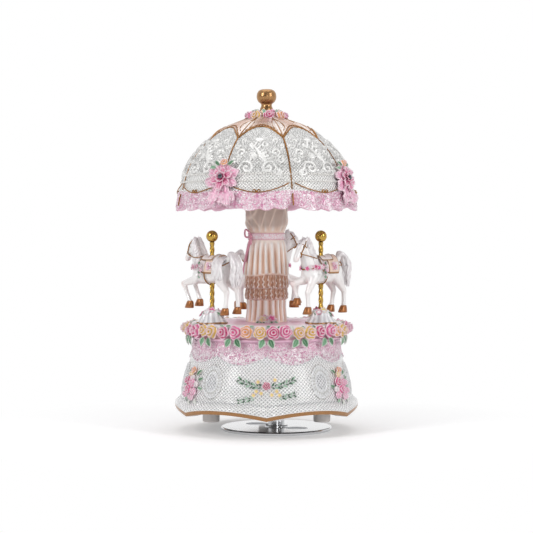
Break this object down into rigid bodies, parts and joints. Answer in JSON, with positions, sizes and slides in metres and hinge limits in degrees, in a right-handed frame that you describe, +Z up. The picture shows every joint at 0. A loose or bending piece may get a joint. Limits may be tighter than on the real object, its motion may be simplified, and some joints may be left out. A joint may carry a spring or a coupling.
{
  "type": "carousel music box",
  "caption": "Wind-up carousel music box: horses on twisted poles under a draped canopy, turning on the round winding disc it stands on.",
  "frame": {"origin": "on the carousel's centre line, at the table", "axes": "+Z up along the centre line, front of the picture towards -Y, +X to the viewer's right"},
  "size_m": [0.099, 0.099, 0.1838],
  "materials": {
    "chrome": "polished",
    "steel": "machined",
    "movement_brass": "machined",
    "movement_casting": "cast",
    "bottom_plate": "matte",
    "foot_resin": "satin",
    "pearl_resin": "pearl paint",
    "canopy_resin": "pearl paint",
    "platform_resin": "pearl paint",
    "rose_pink": "painted",
    "rose_yellow": "painted",
    "leaf_green": "painted",
    "mound_resin": "pearl paint with gold edge",
    "pole_brass": "polished",
    "horse_resin": "pearl paint",
    "column_resin": "pearl paint",
    "bow_resin": "pearl paint",
    "rhinestone": "faceted, foil backed",
    "finial_gold": "gold paint"
  },
  "bodies": {
    "turntable": {"winding_disc": "chrome", "disc_hub": "chrome", "winding_arbor": "steel", "great_wheel": "movement_brass"},
    "carousel": {"plate_screws": "steel", "bed_screws": "steel", "comb_screws": "steel", "comb": "steel", "mainspring": "steel", "spring_barrel": "movement_brass", "barrel_cap": "movement_brass", "bedplate": "movement_casting", "cylinder_bracket_inner": "movement_casting", "cylinder_bracket_outer": "movement_casting", "comb_base": "movement_casting", "governor_frame": "movement_casting", "bottom_plate": "bottom_plate", "feet": "foot_resin", "base_shell": "pearl_resin", "canopy": "canopy_resin", "platform": "platform_resin", "garland_pink_roses": "rose_pink", "bouquet_flowers": "rose_pink", "wreath_roses": "rose_pink", "garland_yellow_roses": "rose_yellow", "garland_leaves": "leaf_green", "bouquet_leaves": "leaf_green", "wreath_leaves": "leaf_green", "pole_mound_1": "mound_resin", "pole_mound_2": "mound_resin", "pole_mound_3": "mound_resin", "pole_1": "pole_brass", "pole_2": "pole_brass", "pole_3": "pole_brass", "pole_ball_1": "pole_brass", "pole_ball_2": "pole_brass", "pole_ball_3": "pole_brass", "horse_1": "horse_resin", "horse_2": "horse_resin", "horse_3": "horse_resin", "column": "column_resin", "canopy_bows": "bow_resin", "rhinestones": "rhinestone", "finial": "finial_gold"},
    "cylinder": {"tune_cylinder": "movement_brass", "cylinder_shaft": "steel", "cylinder_pinion": "steel", "cylinder_gear": "movement_brass"},
    "governor_wheel": {"governor_shaft": "steel", "governor_pinion": "steel", "worm_wheel": "movement_brass"},
    "fly": {"worm": "steel", "fan": "steel"}
  },
  "joints": [
    {"name": "carousel_spin", "type": "hinge", "parent": "turntable", "child": "carousel", "pos_m": [0.0054, 0, 0.016], "axis": [0, 0, -1], "continuous": true},
    {"name": "cylinder_spin", "type": "hinge", "parent": "carousel", "child": "cylinder", "pos_m": [-0.02, 0, 0.026], "axis": [1, 0, 0], "continuous": true},
    {"name": "governor_spin", "type": "hinge", "parent": "carousel", "child": "governor_wheel", "pos_m": [-0.024, 0.011, 0.026], "axis": [1, 0, 0], "continuous": true},
    {"name": "fly_spin", "type": "hinge", "parent": "carousel", "child": "fly", "pos_m": [-0.023, 0.016, 0.026], "axis": [0, 0, 1], "continuous": true}
  ],
  "couplings": [
    {"joint": "cylinder_spin", "follows": "carousel_spin", "ratio": 3.4},
    {"joint": "governor_spin", "follows": "carousel_spin", "ratio": -9.0667},
    {"joint": "fly_spin", "follows": "carousel_spin", "ratio": 126.93}
  ]
}
